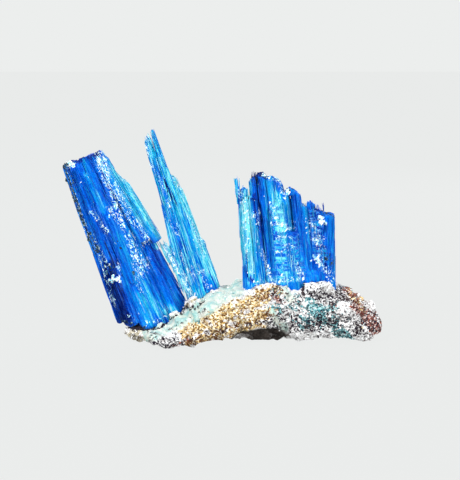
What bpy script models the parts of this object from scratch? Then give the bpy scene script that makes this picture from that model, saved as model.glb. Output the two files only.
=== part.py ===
"""Chalcanthite specimen: blue fibrous crystals that stand on a lump of weathered matrix rock.

Lengths are millimetres in a working frame: X to the right, Y away from the viewer, Z up, with the
ground at Z = 0. Meshes are made in metres. At the end stand_at_origin hangs them on an empty, which
moves the whole specimen so that the middle of its box, seen from above, is at the origin.
"""

import math
import random
from collections import namedtuple

import bmesh
import bpy
from mathutils import Vector, noise
from mathutils.bvhtree import BVHTree

MM = 0.001
GAP = 0.3  # clearance between a crystal and the rock it grows from

# The rock: ellipsoidal masses that are blended into one lump, each a centre and three radii.
Mass = namedtuple("Mass", "centre radii")
ROCK_MASSES = (
    Mass((-22.3, -1.0, 2.7), (6.6, 6.4, 2.5)),  # thin ledge under the foot of the broad blade
    Mass((-15.0, -7.6, 2.2), (7.6, 6.6, 3.2)),  # pale lump at the front left corner
    Mass((-7.6, -0.5, 4.2), (9.4, 11.0, 6.0)),  # low end of the slope
    Mass((-7.0, -6.5, 2.6), (5.0, 4.6, 4.0)),  # knob at the foot of the slope
    Mass((-8.0, 8.0, 4.0), (10.0, 7.0, 5.5)),  # back left
    Mass((-1.0, -0.5, 7.0), (11.0, 12.5, 7.7)),  # middle of the slope
    Mass((11.0, 0.0, 9.0), (12.5, 13.5, 9.0)),  # highest, under the column cluster
    Mass((7.0, -8.0, 10.2), (9.5, 6.0, 5.3)),  # ochre bulge over the hollow
    Mass((7.6, -5.4, 12.6), (6.0, 4.4, 4.2)),  # shoulder in front of the pale column's foot
    Mass((18.6, -6.2, 12.6), (6.4, 4.6, 4.6)),  # shoulder in front of the front column's foot
    Mass((11.0, 3.5, 3.0), (13.0, 7.0, 4.5)),  # floor behind the hollow
    Mass((24.0, 1.0, 9.0), (12.0, 13.0, 9.2)),
    Mass((21.0, -5.5, 8.5), (8.5, 6.5, 6.0)),  # front bulge to the right of the hollow
    Mass((18.0, 9.0, 8.0), (12.0, 6.5, 7.5)),  # back
    Mass((32.3, 2.0, 7.0), (8.3, 12.0, 9.0)),  # right shoulder
    Mass((34.0, 0.5, 4.0), (6.5, 6.0, 4.4)),  # knob low on the right
    Mass((39.7, 3.0, 5.0), (5.9, 9.0, 5.9)),  # right end
)
ROCK_VOXEL = 1.85  # facet size of the blended rock
ROUGH_OCTAVES = ((9.0, 1.1), (4.2, 0.85), (2.2, 0.35))  # wavelength and height of the rock's relief
ROUGH_SEED = Vector((3.1, 7.7, 1.9))
BLOCK_SIZE = 6.2  # the rock's surface is broken in blocks of about this size
BLOCK_HEIGHT = 1.5  # depth of the creases between the blocks
CREASE_SHARE = 0.35  # how far a crease's slope runs into a block
GROUND_SIDE = 160.0  # the slab that cuts the rock flat at Z = 0
GROUND_DEPTH = 30.0

HOLLOWS = (  # what is missing under the front edge
    Mass((10.7, -9.0, -1.0), (9.5, 9.6, 6.6)),  # the dark hollow
    Mass((-1.7, -12.0, -1.2), (6.5, 12.0, 4.8)),  # shallow undercut to its left
    Mass((30.5, -9.0, -2.0), (13.5, 13.0, 4.6)),  # shallow undercut to its right
)

# How uneven small lumps, hollows and pits are, as a share of their radius.
CRUMB_ROUGHNESS = 0.5
HOLLOW_ROUGHNESS = 0.15
PIT_ROUGHNESS = 0.3

# Pale crumbs and blocks that are stuck on the rock, each seated at the nearest place on its surface.
PEBBLES = (
    Mass((-16.9, -6.0, 8.6), (1.5, 1.3, 1.2)),
    Mass((-13.4, -6.0, 10.3), (2.4, 1.5, 1.3)),
    Mass((-10.7, -6.0, 12.2), (1.6, 1.4, 1.4)),
    Mass((-8.2, -6.6, 13.5), (2.1, 1.6, 1.9)),
    Mass((27.0, -8.5, 17.6), (5.0, 3.0, 2.2)),
    Mass((36.5, -3.0, 13.4), (1.7, 1.8, 1.5)),
    Mass((41.5, 0.5, 9.6), (2.1, 2.0, 2.0)),
    Mass((33.0, -9.5, 10.0), (2.6, 1.8, 2.2)),
    Mass((14.5, -13.0, 12.0), (2.4, 1.5, 2.0)),
    Mass((-1.0, -13.0, 6.5), (2.6, 1.6, 2.0)),
)

# A lath is one flat-sided column of fibres. foot and head are the middles of its two ends, across
# and deep are its (foot, head) widths along X and Y, and broken is how much higher the right and
# the back edge of its broken head are than the left and the front edge.
Lath = namedtuple("Lath", "foot head across deep broken")

BROAD_BLADE = (
    # the slab's main laths, from its left edge to its right edge
    Lath((-27.3, 1.2, 6.0), (-43.0, 1.0, 50.2), (5.4, 3.8), (8.0, 5.6), (1.2, -0.6)),
    Lath((-24.6, -0.6, 5.7), (-40.2, -0.4, 51.0), (6.2, 4.6), (9.6, 7.0), (0.8, 0.5)),
    Lath((-20.7, -1.2, 4.8), (-37.4, -0.8, 52.3), (6.0, 4.4), (10.6, 7.6), (0.9, -0.8)),
    Lath((-17.2, -0.8, 4.4), (-35.2, -0.4, 53.0), (5.6, 3.6), (10.6, 7.2), (0.4, 0.7)),
    Lath((-15.2, 0.8, 6.0), (-33.6, 0.8, 52.2), (6.2, 2.8), (9.0, 6.2), (-1.4, 0.4)),
    Lath((-13.6, 0.6, 7.0), (-30.2, 1.6, 47.2), (4.8, 2.7), (8.4, 5.0), (-2.4, 0.6)),
    # the lower panel on the right, set back behind the broken layer
    Lath((-12.9, -0.6, 7.4), (-21.4, -0.4, 28.8), (4.6, 3.7), (7.6, 5.6), (-2.2, 1.4)),
    Lath((-11.3, 0.4, 8.8), (-18.2, 0.6, 25.8), (2.4, 1.5), (6.0, 4.0), (-1.6, 0.8)),
    # the outer layer above the break
    Lath((-18.9, 0.2, 28.6), (-27.9, 1.0, 45.4), (3.4, 2.6), (8.0, 5.6), (-3.0, 0.8)),
    Lath((-21.6, -1.5, 29.6), (-33.0, -1.5, 51.0), (4.2, 3.0), (7.8, 6.6), (-1.0, 0.4)),
    # ribs that stand proud of the face
    Lath((-30.6, -3.9, 30.0), (-37.2, -3.6, 47.6), (1.6, 1.9), (4.4, 3.6), (0.5, 0.8)),
    Lath((-24.8, -4.2, 17.5), (-31.4, -4.2, 35.6), (1.5, 1.3), (5.0, 3.8), (0.6, 0.9)),
)
BLADE_PIT = Mass((-31.2, -4.6, 20.6), (1.7, 1.8, 2.1))
BLADE_CRUMBS = (
    Mass((-30.7, -3.4, 17.3), (1.5, 1.2, 1.1)),
    Mass((-41.2, -3.0, 49.4), (1.1, 1.1, 1.0)),
)

TALL_SPIRE = (
    # the two tips that stand apart at the top
    Lath((-14.6, 0.0, 38.0), (-20.8, 0.0, 56.8), (2.8, 2.0), (3.4, 2.4), (0.5, 0.6)),
    Lath((-13.6, 0.5, 38.0), (-19.3, 0.4, 59.2), (2.6, 0.9), (3.4, 1.6), (-1.0, 0.8)),
    # the left side of the shaft, below and above its bend
    Lath((-7.5, 0.6, 10.4), (-14.6, 0.4, 33.0), (2.8, 2.4), (6.0, 4.6), (-0.8, 0.4)),
    Lath((-12.8, 0.2, 27.0), (-16.9, 0.1, 46.4), (3.4, 2.2), (4.8, 3.4), (0.8, 0.6)),
    # the rest of the shaft, to its right edge
    Lath((-6.2, 0.4, 11.4), (-17.2, 0.2, 52.2), (3.8, 1.6), (6.6, 3.0), (-0.8, 0.7)),
    Lath((-5.2, -0.4, 12.2), (-15.8, -0.2, 49.2), (3.2, 1.3), (6.4, 2.8), (-1.0, 0.4)),
    Lath((-4.2, 0.4, 12.8), (-13.9, 0.4, 46.4), (4.0, 1.9), (6.6, 3.4), (-1.2, 0.8)),
    Lath((-3.5, 0.2, 13.2), (-11.9, 0.0, 43.4), (3.4, 1.6), (6.0, 3.2), (-1.6, 0.6)),
    Lath((-2.7, 0.4, 13.4), (-9.7, 0.5, 37.4), (3.0, 1.6), (5.6, 3.4), (-2.2, 0.6)),
    Lath((-1.9, -0.4, 13.4), (-6.1, -0.2, 29.0), (2.8, 1.7), (5.0, 3.6), (-2.0, 0.7)),
    # a rib on the front, and the splinter split off at the left foot
    Lath((-6.4, -1.9, 11.2), (-12.2, -1.3, 29.0), (2.2, 1.2), (3.8, 2.8), (-0.8, 0.5)),
    Lath((-6.9, -0.8, 9.8), (-16.3, -0.4, 27.4), (1.6, 0.9), (3.4, 2.2), (-0.8, 0.5)),
    Lath((-6.3, 0.9, 10.4), (-14.7, 0.9, 26.6), (1.8, 1.1), (3.0, 2.0), (-0.9, 0.4)),
)

COLUMN_CLUSTER = (
    # the fang and its short neighbour on the left edge
    Lath((7.2, -1.4, 24.0), (3.6, -1.6, 46.2), (3.0, 0.8), (3.4, 0.9), (0.2, 0.2)),
    Lath((7.8, -0.6, 26.0), (5.7, -0.8, 43.6), (3.4, 1.9), (3.6, 1.8), (0.7, 0.3)),
    # pale column at the front left
    Lath((7.9, -3.2, 15.2), (6.5, -3.0, 40.6), (4.4, 2.2), (6.4, 4.4), (0.8, 0.5)),
    Lath((10.0, -3.4, 15.2), (8.3, -3.2, 41.4), (4.0, 2.2), (6.6, 4.6), (-0.8, 0.4)),
    Lath((11.2, -2.6, 15.4), (9.6, -2.6, 38.6), (3.0, 1.4), (5.4, 3.8), (-1.2, 0.6)),
    # dome at the back
    Lath((10.4, 1.2, 15.4), (8.7, 0.6, 46.3), (5.2, 2.2), (7.4, 4.6), (1.4, -0.8)),
    Lath((13.2, 0.8, 15.4), (10.7, 0.2, 47.3), (5.0, 2.8), (8.4, 5.6), (-0.4, 0.8)),
    Lath((15.8, 0.6, 15.6), (13.1, 0.0, 46.8), (5.0, 3.0), (8.6, 5.8), (-0.6, -0.9)),
    Lath((18.2, 0.4, 15.6), (15.3, 0.0, 45.6), (4.6, 2.8), (8.6, 5.8), (-1.8, 0.6)),
    Lath((20.0, 0.4, 15.8), (17.2, -0.2, 42.4), (4.6, 2.6), (8.4, 5.4), (-2.0, 0.5)),
    # narrow prism in the valley between the pale column and the front column
    Lath((13.4, -2.8, 15.6), (11.9, -2.4, 35.6), (2.6, 1.1), (4.6, 2.8), (0.6, 0.4)),
    # front column with its stepped head
    Lath((16.2, -3.8, 15.2), (14.2, -3.0, 38.6), (5.0, 2.2), (6.8, 5.0), (0.9, 0.4)),
    Lath((18.6, -3.8, 15.4), (16.3, -3.0, 40.4), (4.8, 3.0), (7.2, 5.0), (-1.4, 0.6)),
    Lath((16.6, -5.2, 15.0), (15.5, -5.0, 33.8), (5.2, 4.0), (5.0, 3.4), (0.8, 0.5)),
    Lath((20.2, -4.8, 15.2), (18.9, -4.6, 31.6), (4.2, 3.4), (5.0, 3.6), (-0.9, 0.6)),
    # smooth deep blue band
    Lath((23.0, -2.2, 15.4), (20.2, -1.6, 42.8), (5.2, 2.2), (9.0, 5.0), (-1.4, 0.5)),
    Lath((24.8, -1.8, 15.6), (22.2, -1.4, 39.0), (4.2, 2.0), (8.6, 5.2), (-1.2, 0.5)),
    # right column
    Lath((25.8, -1.0, 15.6), (24.4, -1.0, 39.6), (3.8, 2.2), (8.0, 4.4), (-0.6, 0.6)),
    Lath((27.4, -1.6, 15.4), (26.6, -1.6, 37.6), (4.2, 2.8), (8.2, 5.4), (-1.0, -0.6)),
    Lath((29.6, -1.2, 15.4), (29.4, -1.2, 36.4), (4.0, 3.4), (7.8, 5.2), (-0.7, 0.6)),
    # back columns
    Lath((12.0, 5.0, 15.0), (12.0, 3.8, 43.0), (7.0, 5.0), (5.0, 3.0), (-1.6, -1.5)),
    Lath((19.0, 5.0, 15.0), (18.4, 3.2, 40.0), (7.2, 5.0), (5.6, 3.6), (-1.6, -1.6)),
    Lath((25.6, 4.6, 15.0), (24.8, 3.4, 34.4), (8.0, 5.6), (5.2, 3.4), (-1.4, -1.4)),
)
CLUSTER_CRUMBS = (
    Mass((25.3, -5.6, 19.6), (2.0, 1.4, 1.7)),
    Mass((18.7, -2.4, 42.6), (1.5, 1.3, 1.5)),
    Mass((27.2, -4.3, 33.8), (0.9, 0.9, 1.5)),
)

LATH_SIDES = 6
LATH_STATIONS = (0.0, 0.4, 0.75, 1.0)  # shares of a lath's length where its section is set
SECTION_JITTER = 0.16  # how far a section's corners stray, as a share of its half width
WANDER = 0.14  # how far a section's middle strays from the straight line

Finish = namedtuple("Finish", "colour roughness")
ROCK_FINISH = Finish((0.62, 0.52, 0.38), 0.9)
BLADE_FINISH = Finish((0.01, 0.16, 0.72), 0.3)
SPIRE_FINISH = Finish((0.01, 0.38, 0.72), 0.32)
CLUSTER_FINISH = Finish((0.01, 0.24, 0.78), 0.3)


def clear_scene():
    for leftover in list(bpy.data.objects):
        bpy.data.objects.remove(leftover)


def material(name, finish):
    made = bpy.data.materials.new(name)
    made.use_nodes = True
    shader = made.node_tree.nodes["Principled BSDF"]
    shader.inputs["Base Color"].default_value = (*finish.colour, 1.0)
    shader.inputs["Roughness"].default_value = finish.roughness
    shader.inputs["Metallic"].default_value = 0.0
    made.diffuse_color = (*finish.colour, 1.0)
    return made


def link_mesh(name, bm):
    """A scene object from a bmesh in metres, which it frees."""
    mesh = bpy.data.meshes.new(name)
    bm.to_mesh(mesh)
    bm.free()
    made = bpy.data.objects.new(name, mesh)
    bpy.context.scene.collection.objects.link(made)
    return made


def object_from(name, bm):
    """A scene object of triangles from a bmesh in millimetres."""
    bmesh.ops.recalc_face_normals(bm, faces=bm.faces)
    bmesh.ops.triangulate(bm, faces=bm.faces)
    bmesh.ops.scale(bm, vec=(MM, MM, MM), verts=bm.verts)
    return link_mesh(name, bm)


def settle(target):
    """Replaces an object's mesh by what its modifiers make of it."""
    graph = bpy.context.evaluated_depsgraph_get()
    made = bpy.data.meshes.new_from_object(target.evaluated_get(graph))
    target.modifiers.clear()
    target.data = made


def combine(target, others, operation):
    """Joins others to target, or cuts them from it, one after another, and drops them."""
    for number, other in enumerate(others):
        step = target.modifiers.new(f"{operation.lower()} {number}", "BOOLEAN")
        step.operation = operation
        step.object = other
    settle(target)
    for other in others:
        bpy.data.objects.remove(other)


def blob(name, mass, rough=0.0, subdivisions=2):
    """An ellipsoid of flat facets, with its surface roughened by a share of its radius."""
    bm = bmesh.new()
    bmesh.ops.create_icosphere(bm, subdivisions=subdivisions, radius=1.0)
    centre = Vector(mass.centre)
    for vert in bm.verts:
        lift = 1.0 + rough * noise.noise(vert.co * 1.7 + centre)
        vert.co = centre + Vector(a * b for a, b in zip(vert.co, mass.radii)) * lift
    return object_from(name, bm)


def rock_relief(point):
    """Height of the rock's relief at a point, in millimetres: swells, and blocks with creases."""
    height = 0.0
    for wavelength, size in ROUGH_OCTAVES:
        height += size * noise.noise(point / wavelength + ROUGH_SEED)
    nearest, second = noise.voronoi(point / BLOCK_SIZE + ROUGH_SEED)[0][:2]
    inside_block = min(1.0, (second - nearest) / CREASE_SHARE)
    return height + BLOCK_HEIGHT * (inside_block - 0.6)


def roughen(target):
    """Moves each corner of the rock along its normal by the relief there."""
    bm = bmesh.new()
    bm.from_mesh(target.data)
    bm.normal_update()
    for vert in bm.verts:
        vert.co += vert.normal * rock_relief(vert.co / MM) * MM
    bmesh.ops.triangulate(bm, faces=bm.faces)
    bm.to_mesh(target.data)
    bm.free()


def seated(mass, surface):
    """The same mass with its centre moved to the nearest point of the rock's surface."""
    nearest = surface.find_nearest(Vector(mass.centre) * MM)[0]
    return Mass(tuple(nearest / MM), mass.radii)


def grown(source, distance):
    """A copy of a solid with its surface moved outwards, in millimetres."""
    bm = bmesh.new()
    bm.from_mesh(source.data)
    bm.normal_update()
    for vert, normal in [(vert, vert.normal.copy()) for vert in bm.verts]:
        vert.co += normal * distance * MM
    return link_mesh(f"{source.name} clearance", bm)


def copy_of(source):
    """A second object with the same mesh."""
    made = source.copy()
    bpy.context.scene.collection.objects.link(made)
    return made


def ground_cutter():
    """A slab below Z = 0, which flattens what the rock stands on."""
    bm = bmesh.new()
    bmesh.ops.create_cube(bm, size=1.0)
    for vert in bm.verts:
        vert.co.x *= GROUND_SIDE
        vert.co.y *= GROUND_SIDE
        vert.co.z = (vert.co.z - 0.5) * GROUND_DEPTH
    return object_from("ground cutter", bm)


def make_matrix():
    """The rock, and what the crystals are cut off by where they come near it."""
    rock = blob("matrix", ROCK_MASSES[0])
    masses = [blob(f"mass {n}", mass) for n, mass in enumerate(ROCK_MASSES[1:])]
    combine(rock, masses, "UNION")
    blend = rock.modifiers.new("blend", "REMESH")
    blend.mode = "VOXEL"
    blend.voxel_size = ROCK_VOXEL * MM
    settle(rock)
    roughen(rock)
    surface = BVHTree.FromObject(rock, bpy.context.evaluated_depsgraph_get())
    pebbles = []
    for number, mass in enumerate(PEBBLES):
        pebbles.append(blob(f"pebble {number}", seated(mass, surface), CRUMB_ROUGHNESS, 1))
    clearance = [grown(solid, GAP) for solid in [rock] + pebbles]
    combine(rock, pebbles, "UNION")
    hollows = [blob(f"hollow {n}", mass, HOLLOW_ROUGHNESS) for n, mass in enumerate(HOLLOWS)]
    combine(rock, [ground_cutter()] + hollows, "DIFFERENCE")
    rock.data.materials.clear()
    rock.data.materials.append(material("weathered rock", ROCK_FINISH))
    return rock, clearance


def unit_section(dice):
    """Corners of an uneven six-sided section that fills the box from -0.5 to 0.5 both ways."""
    turn = dice.choice((0.0, 0.5))
    corners = []
    for side in range(LATH_SIDES):
        angle = 2 * math.pi * (side + turn) / LATH_SIDES
        reach = 1.0 + dice.uniform(-SECTION_JITTER, SECTION_JITTER)
        corners.append((math.cos(angle) * reach, math.sin(angle) * reach))
    fitted = []
    for values in zip(*corners):
        low, high = min(values), max(values)
        fitted.append([(value - low) / (high - low) - 0.5 for value in values])
    return list(zip(*fitted))


def between(ends, share):
    """The value at a share of the way from the first of two ends to the second."""
    return ends[0] + (ends[1] - ends[0]) * share


def lath_solid(name, shape, dice):
    """A tapering column with flat sides and a slanting broken head."""
    foot, head = Vector(shape.foot), Vector(shape.head)
    axis = (head - foot).normalized()
    right = (Vector((1, 0, 0)) - axis * axis.x).normalized()
    back = axis.cross(right)
    corners = unit_section(dice)
    bm = bmesh.new()
    rings = []
    for share in LATH_STATIONS:
        stray = 0.0 if share in (0.0, 1.0) else WANDER
        middle = foot.lerp(head, share)
        middle += right * dice.uniform(-stray, stray) + back * dice.uniform(-stray, stray)
        across, deep = between(shape.across, share), between(shape.deep, share)
        slant = 1.0 if share == 1.0 else 0.0
        ring = []
        for x, y in corners:
            lift = slant * (shape.broken[0] * x + shape.broken[1] * y)
            ring.append(bm.verts.new(middle + right * x * across + back * y * deep + axis * lift))
        rings.append(ring)
    for lower, upper in zip(rings, rings[1:]):
        for side in range(LATH_SIDES):
            following = (side + 1) % LATH_SIDES
            bm.faces.new((lower[side], lower[following], upper[following], upper[side]))
    bm.faces.new(rings[0])
    bm.faces.new(rings[-1])
    return object_from(name, bm)


def make_crystal(name, laths, finish, clearance, seed, crumbs=(), pits=()):
    """One crystal: its laths joined in one solid, with what sticks to it, cut off at the rock."""
    dice = random.Random(seed)
    parts = [lath_solid(f"{name} lath {n}", shape, dice) for n, shape in enumerate(laths)]
    crystal = parts[0]
    crystal.name = name
    stuck = [blob(f"{name} crumb {n}", mass, CRUMB_ROUGHNESS, 1) for n, mass in enumerate(crumbs)]
    combine(crystal, parts[1:] + stuck, "UNION")
    cutters = [blob(f"{name} pit {n}", mass, PIT_ROUGHNESS, 1) for n, mass in enumerate(pits)]
    combine(crystal, cutters + [copy_of(solid) for solid in clearance], "DIFFERENCE")
    crystal.data.materials.clear()
    crystal.data.materials.append(material(f"{name} finish", finish))
    return crystal


def stand_at_origin(parts):
    """Parents the parts to an empty that puts the middle of their box, seen from above, at zero."""
    corners = [vert.co for part in parts for vert in part.data.vertices]
    middle = [(min(values) + max(values)) / 2 for values in zip(*corners)]
    specimen = bpy.data.objects.new("specimen", None)
    bpy.context.scene.collection.objects.link(specimen)
    specimen.location = (-middle[0], -middle[1], 0.0)
    for part in parts:
        part.parent = specimen
    bpy.context.view_layer.update()
    return specimen.location


def main():
    clear_scene()
    rock, clearance = make_matrix()
    blade = make_crystal(
        "broad_blade", BROAD_BLADE, BLADE_FINISH, clearance, 11, BLADE_CRUMBS, (BLADE_PIT,)
    )
    spire = make_crystal("tall_spire", TALL_SPIRE, SPIRE_FINISH, clearance, 23)
    cluster = make_crystal(
        "column_cluster", COLUMN_CLUSTER, CLUSTER_FINISH, clearance, 37, CLUSTER_CRUMBS
    )
    for solid in clearance:
        bpy.data.objects.remove(solid)
    parts = [rock, blade, spire, cluster]
    shift = stand_at_origin(parts)
    print("moved to the origin by, in mm:", [round(value / MM, 3) for value in shift])
    for part in parts:
        print(part.name, "triangles", sum(len(face.vertices) - 2 for face in part.data.polygons))


main()
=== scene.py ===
"""Looks of a chalcanthite specimen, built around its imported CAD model.

Lengths are millimetres in a working frame: X to the right, Y away from the viewer, Z up, with the
ground at Z = 0. SHIFT carries it to the model's own frame, whose unit is the metre. Places that were
read off the photograph are written as its pixels, and are carried on to the surface seen there.
"""

import math
from collections import namedtuple

import bpy
import numpy as np
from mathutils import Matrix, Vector
from mathutils.bvhtree import BVHTree


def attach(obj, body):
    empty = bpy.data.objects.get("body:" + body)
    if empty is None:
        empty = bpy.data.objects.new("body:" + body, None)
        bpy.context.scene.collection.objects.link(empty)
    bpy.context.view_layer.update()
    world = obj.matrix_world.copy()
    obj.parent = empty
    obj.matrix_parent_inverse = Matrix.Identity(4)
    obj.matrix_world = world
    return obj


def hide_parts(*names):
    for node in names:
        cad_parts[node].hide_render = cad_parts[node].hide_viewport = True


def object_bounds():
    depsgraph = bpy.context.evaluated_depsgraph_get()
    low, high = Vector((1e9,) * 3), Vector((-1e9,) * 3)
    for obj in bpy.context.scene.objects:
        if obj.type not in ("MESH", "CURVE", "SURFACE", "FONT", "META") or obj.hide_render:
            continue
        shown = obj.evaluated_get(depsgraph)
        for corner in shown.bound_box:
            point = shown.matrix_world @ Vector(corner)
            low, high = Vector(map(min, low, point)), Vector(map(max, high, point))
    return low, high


MM = 0.001
SHIFT = np.array((-0.57, -0.668, 0.0))

# The camera, and the photograph's frame in pixels.
CAMERA_TARGET = np.array((2.1, 0.0, 28.6))
CAMERA_DISTANCE = 373.0
CAMERA_ELEVATION = math.radians(9.0)
CAMERA_LENS = 100.0
SENSOR = 36.0
FRAME_WIDTH = 460
FRAME_HEIGHT = 480
FOCAL_PIXELS = CAMERA_LENS / SENSOR * FRAME_HEIGHT
RIGHT = np.array((1.0, 0.0, 0.0))
UP = np.array((0.0, math.sin(CAMERA_ELEVATION), math.cos(CAMERA_ELEVATION)))
FORWARD = np.array((0.0, math.cos(CAMERA_ELEVATION), -math.sin(CAMERA_ELEVATION)))
CAMERA_PLACE = CAMERA_TARGET - FORWARD * CAMERA_DISTANCE

# The studio, in metres and watts.
PALE_GREY = (0.839, 0.855, 0.847)
FLOOR_SHADE = (0.01, 0.01, 0.01)
FLOOR_LEVEL = -0.0002
FLOOR_GLOW = 0.965
WALL_GLOW = 0.995
ROOM_SIDE = 2.4
ROOM_LIGHT = 0.38

# Square soft lights, placed in millimetres.
Light = namedtuple("Light", "name place size power")
LIGHTS = (
    Light("key", (-220.0, -300.0, 330.0), 180.0, 2.6),
    Light("fill", (220.0, -330.0, 20.0), 260.0, 1.2),
    Light("back", (160.0, 340.0, 240.0), 260.0, 1.5),
)
LIGHTS_AIM = (0.0, 0.0, 20.0)

# Blues of the crystals, from their darkest tone, 0, to their palest, 1.
BLUES = (
    (0.0, (0.0, 0.006, 0.09)),
    (0.2, (0.0, 0.034, 0.33)),
    (0.4, (0.0, 0.098, 0.58)),
    (0.6, (0.001, 0.22, 0.62)),
    (0.8, (0.012, 0.385, 0.63)),
    (1.0, (0.17, 0.66, 0.73)),
)

# The same tones where the crystals are cyan, whose shades are teal.
TEALS = (
    (0.0, (0.0, 0.022, 0.11)),
    (0.2, (0.0, 0.07, 0.26)),
    (0.4, (0.001, 0.132, 0.41)),
    (0.6, (0.001, 0.25, 0.56)),
    (0.8, (0.01, 0.42, 0.62)),
    (1.0, (0.18, 0.72, 0.76)),
)
CYAN_FROM = 0.58  # the tone from which a crystal's shades turn teal
CYAN_RISE = 0.2  # how much higher they are all teal

# A stroke is a line in the photograph's pixels, how far it reaches to each side, and what it brings.
Stroke = namedtuple("Stroke", "reach value path")


def drawn(*rows):
    """Strokes from rows of a reach, a value and the places that the line runs through."""
    return tuple(Stroke(reach, value, path) for reach, value, *path in rows)


# The direction of a crystal's fibres: at the given level they pass through these X with these
# slopes, the change in X for each millimetre of height.
Lean = namedtuple("Lean", "level places slopes")

# Chips strewn over a crystal: where, how many, their middle size along, across and deep, whether
# they lie along the fibres (0) or level across them (1), how far they gather in chains, and their
# material.
Strewn = namedtuple("Strewn", "name strokes count size level chained look")

# A bundle of free strands between two places, and how far they spread about its two ends.
Tuft = namedtuple("Tuft", "foot head spread count width tone")

# A crystal: its CAD node, its fibres, what is painted on it, what is strewn on it and its strands.
Crystal = namedtuple(
    "Crystal",
    "node lean base_tone tones bands strewn tufts fibre_count head_drop relief voxel seed",
)

BLADE_TONES = drawn(
    (8, 0.4, (72, 172), (92, 222), (104, 252)),
    (4, 0.64, (86, 174), (103, 210)),
    (3.5, 0.3, (93, 166), (112, 206)),
    (10, 0.64, (104, 162), (125, 196), (150, 230)),
    (6, 0.78, (115, 168), (134, 196), (158, 234)),
    (5, 0.28, (100, 216), (118, 262)),
    (7, 0.56, (120, 232), (132, 262), (150, 300)),
    (6, 0.58, (128, 228), (142, 262)),
    (11, 0.05, (109, 270), (115, 292), (124, 318)),
    (9, 0.64, (138, 296), (150, 320)),
    (10, 0.72, (150, 300), (172, 314)),
    (5, 0.2, (150, 246), (162, 272)),
    (4, 0.5, (168, 284), (180, 304)),
    (3.5, 0.16, (67, 164), (98, 154)),
    (6.5, 0.04, (113, 266), (114, 274)),
)
BLADE_FLECKS = drawn(
    (7, 1, (100, 157), (104, 172), (113, 190), (120, 212)),
    (4.5, 1, (109, 209), (118, 220), (131, 240)),
    (6, 0.7, (120, 196), (128, 214), (144, 234)),
    (7, 0.9, (130, 238), (140, 272), (148, 262)),
    (4, 0.9, (143, 244), (150, 240)),
    (4, 0.7, (92, 212), (107, 232)),
    (3, 0.6, (68, 172), (76, 200), (90, 240)),
    (6, 0.6, (96, 244), (104, 262)),
    (3, 0.6, (107, 262), (105, 276), (109, 290), (115, 306)),
    (3, 0.7, (118, 262), (120, 274)),
    (4, 0.5, (134, 276), (142, 292)),
    (3, 0.6, (146, 322), (166, 317)),
    (3, 0.4, (128, 316), (134, 320)),
)
BLADE_CHUNKS = drawn(
    (2.5, 1, (70, 165), (72, 165)),
    (3.0, 1, (112, 280), (119, 279)),
    (2.0, 0.2, (112, 264), (118, 265)),
    (2.0, 0.3, (88, 230), (90, 231)),
)
BLADE_CRUST = drawn(
    (3.4, 1, (66, 166), (71, 186), (76, 203), (82, 219), (89, 234), (96, 250)),
    (4, 0.4, (113, 268), (114, 274)),
    (2, 0.3, (120, 321), (148, 328)),
)
BLADE = Crystal(
    node="broad_blade",
    lean=Lean(30.0, (-37.5, -27.0, -18.1), (-0.34, -0.45, -0.64)),
    base_tone=0.42,
    tones=BLADE_TONES,
    bands=(),
    strewn=(
        Strewn("flecks", BLADE_FLECKS, 800, (0.80, 0.36, 0.20), 0.25, 1.0, "salt"),
        Strewn("chunks", BLADE_CHUNKS, 100, (1.20, 0.95, 0.6), 0.5, 0.0, "salt"),
        Strewn("crust", BLADE_CRUST, 1500, (0.62, 0.44, 0.24), 0.0, 0.2, "crust"),
    ),
    tufts=(
        Tuft((-18.4, -1.6, 26.5), (-20.6, -1.2, 30.6), 1.3, 26, 0.34, 0.74),
    ),
    fibre_count=1000, head_drop=1.3, relief=0.42, voxel=0.16, seed=11,
)
SPIRE_TONES = drawn(
    (5, 0.72, (148, 140), (154, 160)),
    (5, 0.56, (154, 164), (168, 200)),
    (6, 0.88, (170, 176), (190, 210), (210, 270)),
    (2.2, 0.08, (166, 185), (176, 205)),
    (2.2, 0.08, (178, 230), (187, 252)),
    (4, 0.52, (172, 215), (184, 262)),
    (7, 0.52, (196, 272), (212, 288)),
)
SPIRE_FLECKS = drawn(
    (5, 1, (160, 238), (180, 272), (191, 296)),
    (2.5, 0.6, (147, 140), (149, 156)),
    (2, 0.7, (150, 163), (158, 176)),
    (3, 1, (180, 250), (190, 272), (206, 272)),
    (5, 0.6, (190, 215), (204, 256)),
    (5, 0.5, (166, 218), (178, 232)),
    (3, 0.6, (172, 176), (182, 190)),
    (4, 0.4, (160, 180), (172, 214)),
    (5, 0.5, (196, 268), (212, 290)),
)
SPIRE = Crystal(
    node="tall_spire",
    lean=Lean(30.0, (-15.3, -6.3), (-0.244, -0.371)),
    base_tone=0.68,
    tones=SPIRE_TONES,
    bands=(),
    strewn=(
        Strewn("flecks", SPIRE_FLECKS, 560, (0.95, 0.32, 0.20), 0.05, 0.8, "salt"),
    ),
    tufts=(
        Tuft((-9.3, -1.4, 13.4), (-16.5, -0.9, 28.5), 0.8, 44, 0.28, 0.92),
        Tuft((-14.8, -1.2, 22.8), (-17.9, -1.0, 29.0), 0.6, 22, 0.30, 0.86),
        Tuft((-8.6, -1.0, 13.2), (-15.6, -0.6, 28.4), 0.9, 34, 0.34, 0.58),
        Tuft((-19.6, -0.6, 54.0), (-20.9, -0.3, 57.9), 0.9, 16, 0.30, 0.70),
        Tuft((-17.8, 0.0, 54.6), (-19.5, 0.3, 59.0), 0.5, 12, 0.26, 0.66),
    ),
    fibre_count=900, head_drop=0.7, relief=0.8, voxel=0.14, seed=23,
)
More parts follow.
